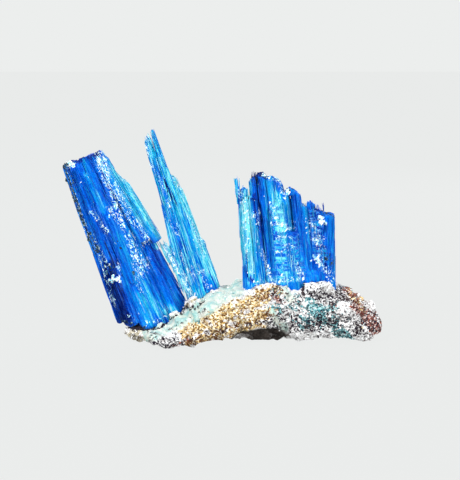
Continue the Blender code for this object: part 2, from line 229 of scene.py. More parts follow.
CLUSTER_TONES = drawn(
    (4, 0.66, (235, 178), (240, 205)),
    (2.5, 0.24, (237, 192), (241, 208)),
    (9, 0.92, (246, 196), (248, 236)),
    (8, 0.76, (248, 238), (252, 280)),
    (5, 0.66, (255, 212), (259, 262)),
    (3.5, 0.74, (240, 206), (242, 268)),
    (4, 0.04, (250, 177), (257, 172), (266, 175)),
    (4, 0.08, (253, 175), (258, 181), (263, 189)),
    (5, 0.12, (255, 196), (262, 226)),
    (3, 0.24, (262, 226), (268, 256)),
    (6, 0.58, (266, 184), (282, 206)),
    (7, 0.78, (276, 196), (284, 240)),
    (8, 0.58, (278, 244), (288, 276)),
    # Painted light: this row lifts the tone beside the shaded groove between the front column and the
    # band set back behind it.
    (4, 0.66, (288, 200), (292, 230)),
    (7, 0.38, (296, 200), (302, 274)),
    (3, 0.6, (304, 200), (308, 240)),
    (8, 0.38, (316, 212), (330, 270)),
    (3, 0.05, (244, 268), (252, 280)),
    (3.5, 0.76, (256, 282), (300, 279)),
)
CLUSTER_BANDS = drawn(
    (11, 1, (276, 206), (282, 276)),
    (9, 0.7, (292, 226), (300, 276)),
    (9, 1, (314, 212), (322, 262)),
    (8, 0.5, (246, 210), (250, 262)),
)
CLUSTER_FLECKS = drawn(
    (5, 0.9, (241, 194), (246, 218), (257, 212)),
    (3, 0.8, (255, 212), (259, 226)),
    (3.0, 0.5, (274, 206), (278, 226)),
    (3, 1, (262, 253), (271, 277)),
    (7, 0.45, (308, 222), (322, 250)),
    (4, 0.6, (290, 256), (302, 276)),
    (5, 0.8, (318, 258), (332, 278)),
    (3, 0.6, (262, 173), (276, 178), (286, 198)),
    (6, 0.4, (244, 225), (252, 275)),
    (7, 0.25, (270, 206), (288, 250)),
    (3, 0.6, (254, 282), (302, 278)),
)
CLUSTER_LEDGES = drawn(
    (1.3, 1, (272, 225), (287, 224)),
    (1.3, 0.9, (284, 228), (294, 227)),
    (1.3, 1, (286, 221), (294, 222)),
    (1.2, 0.8, (278, 237), (290, 237)),
    (1.2, 0.8, (286, 245), (295, 246)),
    (1.2, 0.7, (276, 252), (285, 251)),
    (1.3, 0.8, (308, 225), (326, 223)),
    (1.3, 0.7, (308, 232), (318, 232)),
    (1.3, 0.8, (312, 239), (326, 238)),
    (1.3, 0.9, (240, 228), (247, 228)),
)
CLUSTER_CHUNKS = drawn(
    (3.0, 0.7, (285, 188), (290, 194)),
    (2.2, 0.7, (263, 256), (268, 274)),
    (4.5, 1, (313, 259), (320, 262)),
    (3.0, 0.8, (319, 217), (324, 224)),
    (1.8, 0.5, (304, 214), (306, 216)),
)
CLUSTER_CRUST = drawn(
    (4, 0.9, (252, 173), (258, 188)),
    (2.5, 1, (286, 186), (292, 191)),
    (3, 0.8, (318, 210), (333, 216)),
    (4, 0.8, (323, 253), (333, 265)),
    (2, 0.6, (238, 246), (241, 276)),
    (3, 0.5, (256, 214), (262, 226)),
)
CLUSTER = Crystal(
    node="column_cluster",
    lean=Lean(17.0, (5.5, 12.0, 24.0, 31.0), (-0.03, -0.12, -0.12, 0.0)),
    base_tone=0.48,
    tones=CLUSTER_TONES,
    bands=CLUSTER_BANDS,
    strewn=(
        Strewn("flecks", CLUSTER_FLECKS, 900, (0.76, 0.38, 0.22), 0.40, 0.9, "salt"),
        Strewn("ledges", CLUSTER_LEDGES, 420, (1.0, 0.24, 0.24), 1.0, 0.0, "salt"),
        Strewn("chunks", CLUSTER_CHUNKS, 90, (1.10, 0.85, 0.6), 0.5, 0.0, "salt"),
        Strewn("crust", CLUSTER_CRUST, 420, (0.50, 0.38, 0.24), 0.0, 0.3, "crust"),
    ),
    tufts=(
        Tuft((4.4, -1.6, 41.0), (3.3, -1.6, 46.4), 0.4, 14, 0.26, 0.72),
        Tuft((5.2, -1.4, 38.6), (5.9, -1.3, 44.2), 0.5, 18, 0.30, 0.66),
        Tuft((8.6, -0.4, 44.6), (8.8, 0.2, 47.6), 1.4, 22, 0.34, 0.06),
        Tuft((26.0, -1.2, 36.8), (25.6, -1.0, 39.2), 3.2, 30, 0.26, 0.40),
    ),
    fibre_count=1200, head_drop=1.1, relief=0.5, voxel=0.15, seed=37,
)

# Painted places stray by noise of this size, so that they have ragged edges. Those on the far side
# stray further, so that it has a pattern of its own.
RAGGED_SIZE = 2.6
TONE_STRAY = 2.2
SALT_STRAY = 1.2
ROCK_STRAY = 3.0
FAR_SIZE = 9.0
FAR_STRAY = 14.0
FAR_DEPTH = 6.0

LEAN_ROUNDS = 14  # of closing in on the fibre that a point lies on
STRETCH = 5.0  # how much a crystal is squashed along its fibres while it is remeshed
SQUASH = 0.09  # how much shorter the pattern's place runs along the fibres than across them
LACE_CELL = 1.3  # size of the meshes in the lace of white salt
LACE_LINE = 0.16  # share of a mesh's size at its border that the salt covers
COLUMN = 0.5  # side of the square columns in which a crystal's ends are looked up
HEAD_REACH = 5.0
FOOT_REACH = 2.0
FOOT_DROP = 0.5  # how far a foot goes down into the rock

# Fibres on a crystal's sides: their size across, across and along, a number added to the crystal's
# seed, how much their heights differ, and how wide and deep the grooves between them are.
Fibres = namedtuple("Fibres", "size seed step width depth")
COARSE = Fibres(np.array((1.15, 1.15, 30.0)), 0, 0.42, 0.22, 0.26)
FINE = Fibres(np.array((0.5, 0.5, 14.0)), 20, 0.16, 0.25, 0.09)
OPEN_PATCHES = np.array((3.0, 3.0, 11.0))  # inside which the grooves are open
HAIRS = np.array((0.3, 0.3, 5.0))
HAIR_HEIGHT = 0.06

# More numbers that are added to a crystal's seed.
SALT_SEED = 3
HAIR_SEED = 40
OPEN_SEED = 45
CLUMP_SEED = 60

# Slivers: least and greatest length, how far out they lie, and their widths.
SLIVER_LENGTHS = (1.5, 9.0)
SLIVER_SEATS = (-0.04, 0.10)
SLIVER_WIDTHS = (0.16, 0.50)
SLIVER_SIDES = 4
SLIVER_RINGS = ((0.2, 0.8), (0.9, 1.1), (0.7, 1.0), (0.1, 0.6))  # shares of the width at each ring
SLIVER_POINTS = SLIVER_SIDES * len(SLIVER_RINGS)
SLIVER_FLATNESS = 0.72
SPAN_STRAY = 0.4  # how far a sliver may run off the surface
SPAN_TURN = 0.35  # how squarely the surface has to face the sliver's way out, up to 1

# Chips are drawn from this many tries each. A few of the chained ones stray from their strokes.
TRIED_CHIPS = 6
STRAY_CHIPS = 0.01
CHIP_LIFT = 0.02

# The hollow under the rock's front edge, as an ellipsoid: inside it the rock's colour is darkened as
# painted shade.
HOLLOW_CENTRE = np.array((10.7, -9.0, -1.0))
HOLLOW_RADII = np.array((9.8, 9.9, 7.0))

# Relief of the rock.
Relief = namedtuple("Relief", "size height seed")
ROCK_VOXEL = 0.38
BLOCKS = Relief(4.6, 0.55, 101)
GRAINS = Relief(1.3, 0.32, 121)
DUST = Relief(0.55, 0.13, 141)
GRAIN_SIZE = 0.62  # of the grains and the dark specks that are painted on it
SPECK_START = 0.355  # the noise below which clean rock is a dark speck
ROCK_SEED = 150
GRAIN_SEED = 160
ROCK_DICE = 5

ROCK_ZONES = {
    "cyan": drawn(
        (12, 1, (150, 332), (190, 316), (238, 286)),
        (7, 0.7, (270, 312), (286, 330)),
        (6, 0.8, (284, 288), (292, 298)),
    ),
    "ochre": drawn(
        (11, 1, (188, 332), (215, 316), (262, 298)),
        (6, 0.9, (188, 343), (214, 337), (240, 330), (262, 326)),
        (9, 0.9, (215, 328), (270, 312)),
        (6, 0.6, (262, 286), (282, 292)),
        (7, 0.8, (350, 292), (362, 308)),
    ),
    "teal": drawn(
        (20, 0.46, (280, 300), (306, 316), (334, 316)),
        (4, 0.8, (188, 314), (198, 322)),
        (8, 0.9, (310, 302), (324, 322)),
        (7, 1, (336, 330), (350, 338)),
        (5, 0.8, (340, 284), (350, 288)),
        (4, 0.7, (231, 289), (236, 293)),
    ),
    "rust": drawn(
        (4, 0.7, (176, 347), (187, 340)),
        (6, 0.5, (270, 296), (286, 302)),
        (7, 0.9, (344, 286), (356, 296)),
        (10, 0.9, (358, 306), (380, 336)),
    ),
    "tan": drawn(
        (6, 1, (122, 333), (146, 338)),
        (3, 0.6, (128, 330), (146, 332)),
        (5, 0.7, (186, 308), (200, 300)),
    ),
    "soot_and_shade": drawn(
        (8, 0.85, (154, 338), (178, 350)),
        (5, 0.6, (176, 338), (184, 346)),
        (7, 1, (186, 342), (206, 341), (224, 331)),
        (11, 0.3, (190, 332), (216, 320), (262, 300)),
        (6, 0.9, (262, 298), (276, 290), (286, 292)),
        (5, 0.8, (206, 334), (232, 326), (270, 322)),
        (9, 0.5, (262, 296), (300, 300)),
        (16, 0.75, (270, 320), (372, 326)),
        (9, 0.7, (312, 292), (332, 304)),
        (8, 0.55, (340, 292), (376, 320)),
        # The next four rows are painted shade: the dark gap under the blade's foot and the shadow
        # along where the crystals meet the rock.
        (4.0, 3, (125, 324), (134, 326), (148, 329)),
        (1.8, 1.6, (150, 329), (166, 324), (175, 316), (192, 306)),
        (1.8, 1.6, (193, 309), (203, 302)),
        (1.4, 0.9, (166, 330), (184, 322), (204, 308)),
        (2.4, 1.8, (303, 280), (304, 294)),
        (7, 0.9, (314, 288), (330, 300), (352, 296)),
        (7, 0.9, (318, 318), (336, 322)),
    ),
}

PALE_CYAN = (0.13, 0.56, 0.70)
LEDGE_CYAN = (0.40, 0.78, 0.84)
SALT_WHITE = (0.90, 0.94, 0.95)
# Black of the dark specks and stains, and of the painted shade in the gaps under the crystals.
SOOT_AND_SHADE_BLACK = (0.018, 0.016, 0.028)
SPECK_BROWN = (0.12, 0.045, 0.015)
STAIN_BROWN = (0.24, 0.10, 0.03)
# A dark brown for the painted shade in the rock's creases.
CREASE_SHADE_BROWN = (0.08, 0.05, 0.04)
SALT = ((0.41, PALE_CYAN), (0.55, SALT_WHITE))
CRUST = ((0.30, (0.003, 0.008, 0.020)), (0.56, (0.006, 0.030, 0.065)), (0.68, (0.20, 0.34, 0.36)))
# Dark greys of the painted shade inside the hollow under the rock's front edge.
HOLLOW_SHADE = ((0.35, (0.012, 0.010, 0.009)), (0.70, (0.066, 0.054, 0.047)))

# Colours of the rock's grains, from the darkest to the palest that one place can have.
PALE_GRAINS = ((0.40, (0.56, 0.53, 0.52)), (0.46, (0.80, 0.83, 0.84)), (0.52, (0.98, 0.99, 0.99)))
POWDER = ((0.36, (0.28, 0.52, 0.50)), (0.46, (0.46, 0.59, 0.53)), (0.60, (0.62, 0.65, 0.58)))
ZONE_GRAINS = {
    "tan": ((0.38, (0.28, 0.24, 0.15)), (0.48, (0.50, 0.46, 0.33)), (0.62, (0.74, 0.68, 0.54))),
    "ochre": (
        (0.38, (0.13, 0.05, 0.015)),
        (0.44, (0.56, 0.34, 0.09)),
        (0.50, (0.84, 0.66, 0.29)),
        (0.57, (0.96, 0.92, 0.76)),
    ),
    "teal": ((0.38, (0.01, 0.07, 0.09)), (0.48, (0.05, 0.26, 0.30)), (0.60, (0.36, 0.62, 0.64))),
    "rust": ((0.38, (0.05, 0.012, 0.014)), (0.48, (0.26, 0.07, 0.05)), (0.60, (0.86, 0.72, 0.68))),
}

# Loose grains of the rock: how many, their middle size, and their light and dark colours.
Grit = namedtuple("Grit", "name count size light dark")
LOOSE_GRAINS = (
    Grit("white", 2200, 0.52, (0.96, 0.97, 0.97), (0.70, 0.70, 0.69)),
    Grit("dark", 1700, 0.42, (0.06, 0.04, 0.05), (0.01, 0.01, 0.02)),
    Grit("ochre", 1100, 0.50, (0.88, 0.72, 0.38), (0.34, 0.15, 0.04)),
    Grit("teal", 400, 0.50, (0.26, 0.56, 0.58), (0.02, 0.14, 0.18)),
    Grit("rust", 700, 0.48, (0.42, 0.14, 0.09), (0.10, 0.02, 0.02)),
)
STRAY_GRAINS = 0.004  # the weight that coloured grains have outside their zone
STRAY_DARK = 0.03


# Numbers

HASH_PRIMES = np.array((73856093, 19349663, 83492791), dtype=np.int64)
SALT_PRIME = 7919
HASH_STEPS = ((15, 1103515245), (13, 1274126177))
LOW_BITS = 0xFFFFFFFF
NEIGHBOURS = [np.array((i, j, k)) for i in (-1, 0, 1) for j in (-1, 0, 1) for k in (-1, 0, 1)]
CORNERS = [np.array((i, j, k)) for i in (0, 1) for j in (0, 1) for k in (0, 1)]


def hashed(whole, salt):
    """A number from 0 to 1 for each row of whole numbers, the same at every run."""
    keys = (whole.astype(np.int64) * HASH_PRIMES).sum(axis=1) + salt * SALT_PRIME
    for shift, factor in HASH_STEPS:
        keys = ((keys ^ (keys >> shift)) & LOW_BITS) * factor & LOW_BITS
    return ((keys ^ (keys >> 16)) & 0xFFFFFF) / float(0x1000000)


def ease(values):
    """Values cut to 0 to 1, with a soft start and end."""
    cut = np.clip(values, 0.0, 1.0)
    return cut * cut * (3.0 - 2.0 * cut)


def waves(points, size, salt):
    """Smooth noise from -1 to 1 at each point. size is one length, or one for each axis."""
    scaled = points / size
    home = np.floor(scaled)
    share = ease(scaled - home)
    total = np.zeros(len(points))
    for corner in CORNERS:
        weight = np.prod(np.where(corner == 1, share, 1.0 - share), axis=1)
        total += weight * hashed(home + corner, salt)
    return 2.0 * total - 1.0


def cells(points, size, salt):
    """How far inside its cell each point is, from 0 at the border, and a number for that cell."""
    scaled = points / size
    home = np.floor(scaled)
    first = np.full(len(points), 9.0)
    second = np.full(len(points), 9.0)
    mark = np.zeros(len(points))
    for step in NEIGHBOURS:
        cell = home + step
        centre = cell + np.stack([hashed(cell, salt + axis) for axis in range(3)], axis=1)
        away = np.linalg.norm(scaled - centre, axis=1)
        closer = away < first
        second = np.where(closer, first, np.minimum(second, away))
        mark = np.where(closer, hashed(cell, salt + 3), mark)
        first = np.where(closer, away, first)
    return second - first, mark


def unit(vectors):
    return vectors / np.maximum(np.linalg.norm(vectors, axis=-1, keepdims=True), 1e-9)


# The photograph's pixels


def pixels_of(points):
    """Where the camera sees each point, as (right, down) in the photograph's pixels."""
    seen = points - CAMERA_PLACE
    scale = FOCAL_PIXELS / (seen @ FORWARD)
    across = FRAME_WIDTH / 2 + (seen @ RIGHT) * scale
    return np.stack([across, FRAME_HEIGHT / 2 - (seen @ UP) * scale], axis=1)


def stroke_share(pixels, stroke):
    """How much each pixel lies under a stroke, from 0 outside its reach to 1 on its line."""
    nearest = np.full(len(pixels), 1e9)
    for start, end in zip(stroke.path, stroke.path[1:]):
        run = np.subtract(end, start, dtype=float)
        along = np.clip((pixels - start) @ run / (run @ run), 0.0, 1.0)
        nearest = np.minimum(nearest, np.linalg.norm(pixels - start - along[:, None] * run, axis=1))
    return ease(1.5 * (1.0 - nearest / stroke.reach))


def ragged_pixels(points, salt, amount):
    """The points' pixels, strayed a little so that what is painted has a ragged edge."""
    stray = [waves(points, RAGGED_SIZE, salt + more) for more in (0, 5)]
    far = [waves(points, FAR_SIZE, salt + more) for more in (9, 14)]
    behind = np.clip(points[:, 1:2] / FAR_DEPTH, 0.0, 1.5)
    pixels = pixels_of(points) + amount * np.stack(stray, axis=1)
    return pixels + FAR_STRAY * behind * np.stack(far, axis=1)


def painted(pixels, strokes, start):
    """One value a pixel: the start value, drawn towards each stroke's value where it lies."""
    values = np.full(len(pixels), float(start))
    for stroke in strokes:
        share = stroke_share(pixels, stroke)
        values += (stroke.value - values) * share
    return values


def covered(pixels, strokes):
    """One value a pixel: the strongest of the strokes that lie on it, or 0."""
    values = np.zeros(len(pixels))
    for stroke in strokes:
        values = np.maximum(values, stroke.value * stroke_share(pixels, stroke))
    return values


# Meshes

# A surface's points and outward normals, its faces, and a tree to find what is nearest on it.
Surface = namedtuple("Surface", "points normals faces tree")


def read_mesh(mesh):
    """The points, normals and faces of a mesh, in its own unit. All faces have the same sides."""
    points = np.empty(len(mesh.vertices) * 3)
    normals = np.empty(len(mesh.vertices) * 3, dtype=np.float32)
    corners = np.empty(len(mesh.loops), dtype=np.int32)
    mesh.vertices.foreach_get("co", points)
    mesh.vertex_normals.foreach_get("vector", normals)
    mesh.loops.foreach_get("vertex_index", corners)
    sides = len(mesh.loops) // len(mesh.polygons)
    return points.reshape(-1, 3), normals.reshape(-1, 3).astype(float), corners.reshape(-1, sides)


def plain_mesh(name, points, faces):
    mesh = bpy.data.meshes.new(name)
    mesh.from_pydata(points.tolist(), [], faces.tolist())
    return mesh


def new_object(name, data):
    made = bpy.data.objects.new(name, data)
    bpy.context.scene.collection.objects.link(made)
    return made


def remeshed(points, faces, voxel):
    """A closed surface's points, normals and faces, once its faces are made even."""
    rough = new_object("rough", plain_mesh("rough", points, faces))
    step = rough.modifiers.new("remesh", "REMESH")
    step.mode = "VOXEL"
    step.voxel_size = voxel
    even = rough.evaluated_get(bpy.context.evaluated_depsgraph_get()).to_mesh()
    result = read_mesh(even)
    bpy.data.objects.remove(rough)
    return result


def add_piece(name, points, faces, fields, finish, slot):
    """A piece of the specimen from working millimetres, kept inside the CAD model's box."""
    low, high = (np.array(corner) for corner in CAD_BOX)
    placed = np.clip((points + SHIFT) * MM, low, high)
    mesh = plain_mesh(name, placed, faces)
    for field, values in fields.items():
        kind, part = ("FLOAT", "value") if values.ndim == 1 else ("FLOAT_VECTOR", "vector")
        layer = mesh.attributes.new(field, kind, "POINT")
        layer.data.foreach_set(part, values.astype(np.float32).ravel())
    mesh.materials.append(finish)
    made = new_object(name, mesh)
    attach(made, "root")
    return made


def surface_of(points, faces):
    """The surface with these points and faces, with normals worked out from them."""
    mesh = plain_mesh("measured", points, faces)
    normals = read_mesh(mesh)[1]
    bpy.data.meshes.remove(mesh)
    return Surface(points, normals, faces, BVHTree.FromPolygons(points.tolist(), faces.tolist()))


OCTAHEDRON = (
    np.array(((1, 0, 0), (-1, 0, 0), (0, 1, 0), (0, -1, 0), (0, 0, 1), (0, 0, -1)), dtype=float),
    np.array(((0, 2, 4), (2, 1, 4), (1, 3, 4), (3, 0, 4), (2, 0, 5), (1, 2, 5), (3, 1, 5), (0, 3, 5))),
)


def shards(places, along, normals, sizes, dice):
    """Points and faces of uneven octahedra, one a place, sized (along, across, thick)."""
    along = unit(along - (along * normals).sum(axis=1, keepdims=True) * normals)
    across = np.cross(normals, along)
    corners, faces = OCTAHEDRON
    count = len(places)
    local = corners[None] * dice.uniform(0.55, 1.15, (count, len(corners), 1))
    local = local + dice.uniform(-0.28, 0.28, (count, len(corners), 3))
    local = local * sizes[:, None, :] / 2.0
    points = places[:, None, :] + local[:, :, :1] * along[:, None] + local[:, :, 1:2] * across[:, None]
    points = points + local[:, :, 2:] * normals[:, None]
    offsets = np.arange(count)[:, None, None] * len(corners)
    return points.reshape(-1, 3), (faces[None] + offsets).reshape(-1, 3)


# Materials


class Paint:
    """A material's nodes, with short ways to add them. Sizes are millimetres."""

    def __init__(self, name, roughness, specular):
        self.material = bpy.data.materials.new(name)
        self.material.use_nodes = True
        tree = self.material.node_tree
        self.nodes = tree.nodes
        self.links = tree.links
        self.shader = self.nodes["Principled BSDF"]
        self.shader.inputs["Roughness"].default_value = roughness
        self.shader.inputs["Specular IOR Level"].default_value = specular

    def join(self, value, socket):
        """Links a node's output to a socket, or sets the socket to a plain value or a colour."""
        if isinstance(value, bpy.types.NodeSocket):
            self.links.new(value, socket)
        else:
            socket.default_value = (*value, 1.0) if isinstance(value, tuple) else value

    def node(self, kind, inputs, **settings):
        """A new node with these settings, and these inputs by name or number."""
        made = self.nodes.new("ShaderNode" + kind)
        for name, value in settings.items():
            setattr(made, name, value)
        for socket, value in inputs.items():
            self.join(value, made.inputs[socket])
        return made

    def field(self, name, output="Fac"):
        return self.node("Attribute", {}, attribute_name=name).outputs[output]

    def scaled(self, vector, factors):
        """A vector with each of its parts multiplied by its own factor."""
        inputs = {0: vector, 1: Vector(factors)}
        return self.node("VectorMath", inputs, operation="MULTIPLY").outputs["Vector"]

    def warped(self, place, size, reach):
        """A place that strays by noise of this size, up to the reach."""
        noise = self.node("TexNoise", {"Vector": place, "Scale": 1.0 / size})
        inputs = {0: noise.outputs["Color"], 1: Vector((reach, reach, reach)), 2: place}
        return self.node("VectorMath", inputs, operation="MULTIPLY_ADD").outputs["Vector"]

    def noise(self, place, size, detail):
        inputs = {"Vector": place, "Scale": 1.0 / size, "Detail": detail}
        return self.node("TexNoise", inputs).outputs["Fac"]

    def cell_edges(self, place, size):
        """How far each place is from the edge of its cell, as a share of the size."""
        inputs = {"Vector": place, "Scale": 1.0 / size}
        return self.node("TexVoronoi", inputs, feature="DISTANCE_TO_EDGE").outputs["Distance"]

    def math(self, operation, first, second=0.0, third=0.0, clamp=False):
        inputs = {0: first, 1: second, 2: third}
        return self.node("Math", inputs, operation=operation, use_clamp=clamp).outputs[0]

    def times(self, first, second, clamp=False):
        return self.math("MULTIPLY", first, second, clamp=clamp)

    def line(self, value, slope, start, clamp=False):
        return self.math("MULTIPLY_ADD", value, slope, start, clamp)

    def share(self, value, slope, start):
        """The value times the slope, plus the start, cut to 0 to 1."""
        return self.line(value, slope, start, clamp=True)

    def ramp(self, share, stops):
        node = self.node("ValToRGB", {"Fac": share})
        band = node.color_ramp
        while len(band.elements) < len(stops):
            band.elements.new(1.0)
        for element, (place, colour) in zip(band.elements, stops):
            element.position = place
            element.color = (*colour, 1.0)
        return node.outputs["Color"]

    def mix(self, share, first, second):
        inputs = {"Factor": share, 6: first, 7: second}
        return self.node("Mix", inputs, data_type="RGBA").outputs[2]

    def colour(self, value):
        self.join(value, self.shader.inputs["Base Color"])

    def bump(self, height, strength, depth):
        inputs = {"Height": height, "Strength": strength, "Distance": depth * MM}
        self.join(self.node("Bump", inputs).outputs["Normal"], self.shader.inputs["Normal"])


def crystal_tone(paint, place, threads, streaks, level):
    """The painted tone with fibre lines, grit, level bands, painted shade in the creases, and frayed
    places.
    """
    lines = paint.line(threads, 0.95, paint.times(streaks, 0.55))
    lines = paint.math("SUBTRACT", lines, 0.75)
    tone = paint.line(lines, paint.field("lined"), paint.field("tone"))
    grit = paint.math("SUBTRACT", paint.noise(place, 0.34, 2.0), 0.5)
    bands = paint.times(paint.math("MAXIMUM", level, -0.05), paint.field("banded"))
    # The creases are darkened in tone: painted shade.
    shades = (grit, 0.55), (bands, 3.0), (paint.field("crease"), -0.16), (paint.field("frayed"), -0.12)
    for shade, strength in shades:
        tone = paint.line(shade, strength, tone)
    return tone


def pale_lines(paint, fibre, level, colour):
    """The colour with level lines where it is banded, and glints along the fibres, most on cyan."""
    ledge = paint.times(paint.math("SUBTRACT", 0.018, paint.math("ABSOLUTE", level)), 60.0)
    ledge = paint.times(ledge, paint.field("banded"), clamp=True)
    colour = paint.mix(paint.times(ledge, 0.65), colour, LEDGE_CYAN)
    glint = paint.share(paint.noise(paint.scaled(fibre, (1.0, 1.0, 0.45)), 0.22, 1.0), 16.0, -8.9)
    shown = paint.line(paint.field("cyan"), 0.70, 0.05)
    return paint.mix(paint.times(glint, shown), colour, LEDGE_CYAN)


def salt_lace(paint, place, colour):
    """The colour with a lace of white salt, edged with pale cyan, where the crystal is frayed."""
    edge = paint.cell_edges(paint.warped(place, 0.8, 1.1), LACE_CELL)
    patch = paint.share(paint.noise(place, 1.5, 3.0), 4.0, -1.60)
    salted = paint.times(paint.field("frayed"), patch)
    for width, salt, sharpness in ((2.0, PALE_CYAN, 10.0), (0.8, SALT_WHITE, 24.0)):
        share = paint.math("SUBTRACT", paint.times(salted, width * LACE_LINE), edge)
        share = paint.times(share, sharpness, clamp=True)
        colour = paint.mix(share, colour, salt)
    return colour


def crystal_finish():
    """Silky blue: streaked along the fibres, with level bands, creases and a lace of white salt."""
    paint = Paint("fibrous blue crystal", 0.45, 0.03)
    fibre = paint.field("fibre", "Vector")
    place = paint.scaled(fibre, (1.0, 1.0, 1.0 / SQUASH))
    threads = paint.noise(fibre, 0.24, 2.0)
    streaks = paint.noise(fibre, 0.50, 3.0)
    level = paint.noise(paint.scaled(place, (0.24, 0.24, 1.0)), 0.9, 2.0)
    level = paint.math("SUBTRACT", level, 0.50)
    tone = crystal_tone(paint, place, threads, streaks, level)
    colour = paint.mix(paint.field("cyan"), paint.ramp(tone, BLUES), paint.ramp(tone, TEALS))
    colour = pale_lines(paint, fibre, level, colour)
    paint.colour(salt_lace(paint, place, colour))
    paint.bump(threads, 0.4, 0.10)
    return paint.material


def growth_finish(name, roughness, stops, size, detail, relief):
    """Salt or crust that grows on the crystals, mottled."""
    paint = Paint(name, roughness, 0.3)
    mottle = paint.noise(paint.field("fibre", "Vector"), size, detail)
    paint.colour(paint.ramp(mottle, stops))
    paint.bump(mottle, relief, 0.1)
    return paint.material


def zoned_grains(paint, other):
    """Pale grains, tinted by the ragged zones."""
    grain = paint.noise(other, GRAIN_SIZE, 3.0)
    spread = paint.line(paint.noise(other, 1.7, 4.0), 3.0, -1.50)
    colour = paint.ramp(grain, PALE_GRAINS)
    for zone, stops in ZONE_GRAINS.items():
        share = paint.share(paint.math("ADD", paint.field(zone), spread), 6.0, -3.0)
        colour = paint.mix(share, colour, paint.ramp(grain, stops))
    return colour


def darkened(paint, place, other, patches, smooth, colour):
    """The colour with a maze of dark specks, and with stains where the rock is sooty or has painted
    shade.
    """
    soot_and_shade = paint.line(patches, 1.6, -0.62)
    soot_and_shade = paint.math("ADD", soot_and_shade, paint.field("soot_and_shade"))
    soot_and_shade = paint.line(smooth, -0.40, soot_and_shade)
    specks = paint.line(soot_and_shade, 0.16, SPECK_START)
    dark = paint.math("SUBTRACT", specks, paint.noise(place, GRAIN_SIZE, 3.0))
    dark = paint.times(dark, 36.0, clamp=True)
    colour = paint.mix(dark, colour, paint.mix(paint.field("ochre"), SOOT_AND_SHADE_BLACK, SPECK_BROWN))
    stain = paint.share(paint.noise(other, 1.1, 3.0), 9.0, -4.9)
    stain = paint.times(stain, paint.times(paint.field("soot_and_shade"), 1.2, clamp=True))
    return paint.mix(stain, colour, paint.mix(paint.field("ochre"), SOOT_AND_SHADE_BLACK, STAIN_BROWN))


def rock_finish():
    """Weathered rock: tinted grains, a powdery slope, dark specks, and painted shade in its creases
    and in its hollow.
    """
    paint = Paint("weathered rock", 0.92, 0.1)
    place = paint.field("grain", "Vector")
    other = paint.scaled(place, (0.83, 1.21, 0.94))
    patches = paint.noise(place, 4.0, 3.0)
    smooth = paint.share(paint.field("cyan"), 2.0, -0.4)
    powder = paint.line(paint.noise(place, 0.5, 2.0), 0.5, -0.25)
    powder = paint.ramp(paint.math("ADD", powder, paint.noise(place, 2.2, 4.0)), POWDER)
    colour = paint.mix(paint.times(smooth, 0.9), zoned_grains(paint, other), powder)
    colour = darkened(paint, place, other, patches, smooth, colour)
    # Painted shade: the rock is darkened in the creases between its blocks and its grains.
    colour = paint.mix(paint.times(paint.field("crease"), 0.45), colour, CREASE_SHADE_BROWN)
    # Painted shade: the rock is darkened to near black inside the hollow.
    paint.colour(paint.mix(paint.field("hollow_shade"), colour, paint.ramp(patches, HOLLOW_SHADE)))
    paint.bump(paint.noise(place, 0.35, 4.0), 0.6, 0.2)
    return paint.material


def grain_finish(name, light, dark):
    """Loose grains of one colour, each a little different."""
    paint = Paint(name, 0.85, 0.25)
    place = paint.field("grain", "Vector")
    paint.colour(paint.ramp(paint.noise(place, 0.7, 3.0), ((0.35, dark), (0.62, light))))
    paint.bump(paint.noise(place, 0.25, 3.0), 0.5, 0.15)
    return paint.material


# Crystals


def to_fibre(points, lean):
    """(place across the fibres at the lean's level, Y, Z) of points."""
    height = points[:, 2] - lean.level
    across = points[:, 0].copy()
    for _ in range(LEAN_ROUNDS):
        across = points[:, 0] - np.interp(across, lean.places, lean.slopes) * height
    return np.stack([across, points[:, 1], points[:, 2]], axis=1)


def from_fibre(points, lean):
    slopes = np.interp(points[:, 0], lean.places, lean.slopes)
    x = points[:, 0] + slopes * (points[:, 2] - lean.level)
    return np.stack([x, points[:, 1], points[:, 2]], axis=1)


def fibre_direction(points, lean):
    """The way that the fibres run at each point."""
    slopes = np.interp(to_fibre(points, lean)[:, 0], lean.places, lean.slopes)
    return unit(np.stack([slopes, np.zeros_like(slopes), np.ones_like(slopes)], axis=1))


def column_ends(points):
    """The lowest and the highest level that the crystal has near each point of fibre space."""
    cell = np.floor(points[:, :2] / COLUMN).astype(int)
    i, j = (cell - cell.min(axis=0) + 1).T
    ends = []
    for way in (-1.0, 1.0):
        tops = np.full((i.max() + 2, j.max() + 2), -1e9)
        np.maximum.at(tops, (i, j), way * points[:, 2])
        near = [np.roll(tops, (a, b), (0, 1)) for a in (-1, 0, 1) for b in (-1, 0, 1)]
        ends.append(way * np.max(near, axis=0)[i, j])
    return ends


def cyan_share(tones):
    """How cyan the crystal is at these tones."""
    return ease((tones - CYAN_FROM) / CYAN_RISE)


def grooved(long_way, seed):
    """The fibres' relief, and the creases and marks of the coarse and the fine ones."""
    opened = ease(0.45 + 1.3 * waves(long_way, OPEN_PATCHES, seed + OPEN_SEED))
    relief = np.zeros(len(long_way))
    creases, marks = [], []
    for kind in (COARSE, FINE):
        border, mark = cells(long_way, kind.size, seed + kind.seed)
        crease = opened * (1.0 - ease(border / kind.width))
        relief += kind.step * (mark - 0.5)
        relief -= kind.depth * crease
        creases.append(crease)
        marks.append(mark)
    relief += HAIR_HEIGHT * waves(long_way, HAIRS, seed + HAIR_SEED)
    return relief, creases, marks


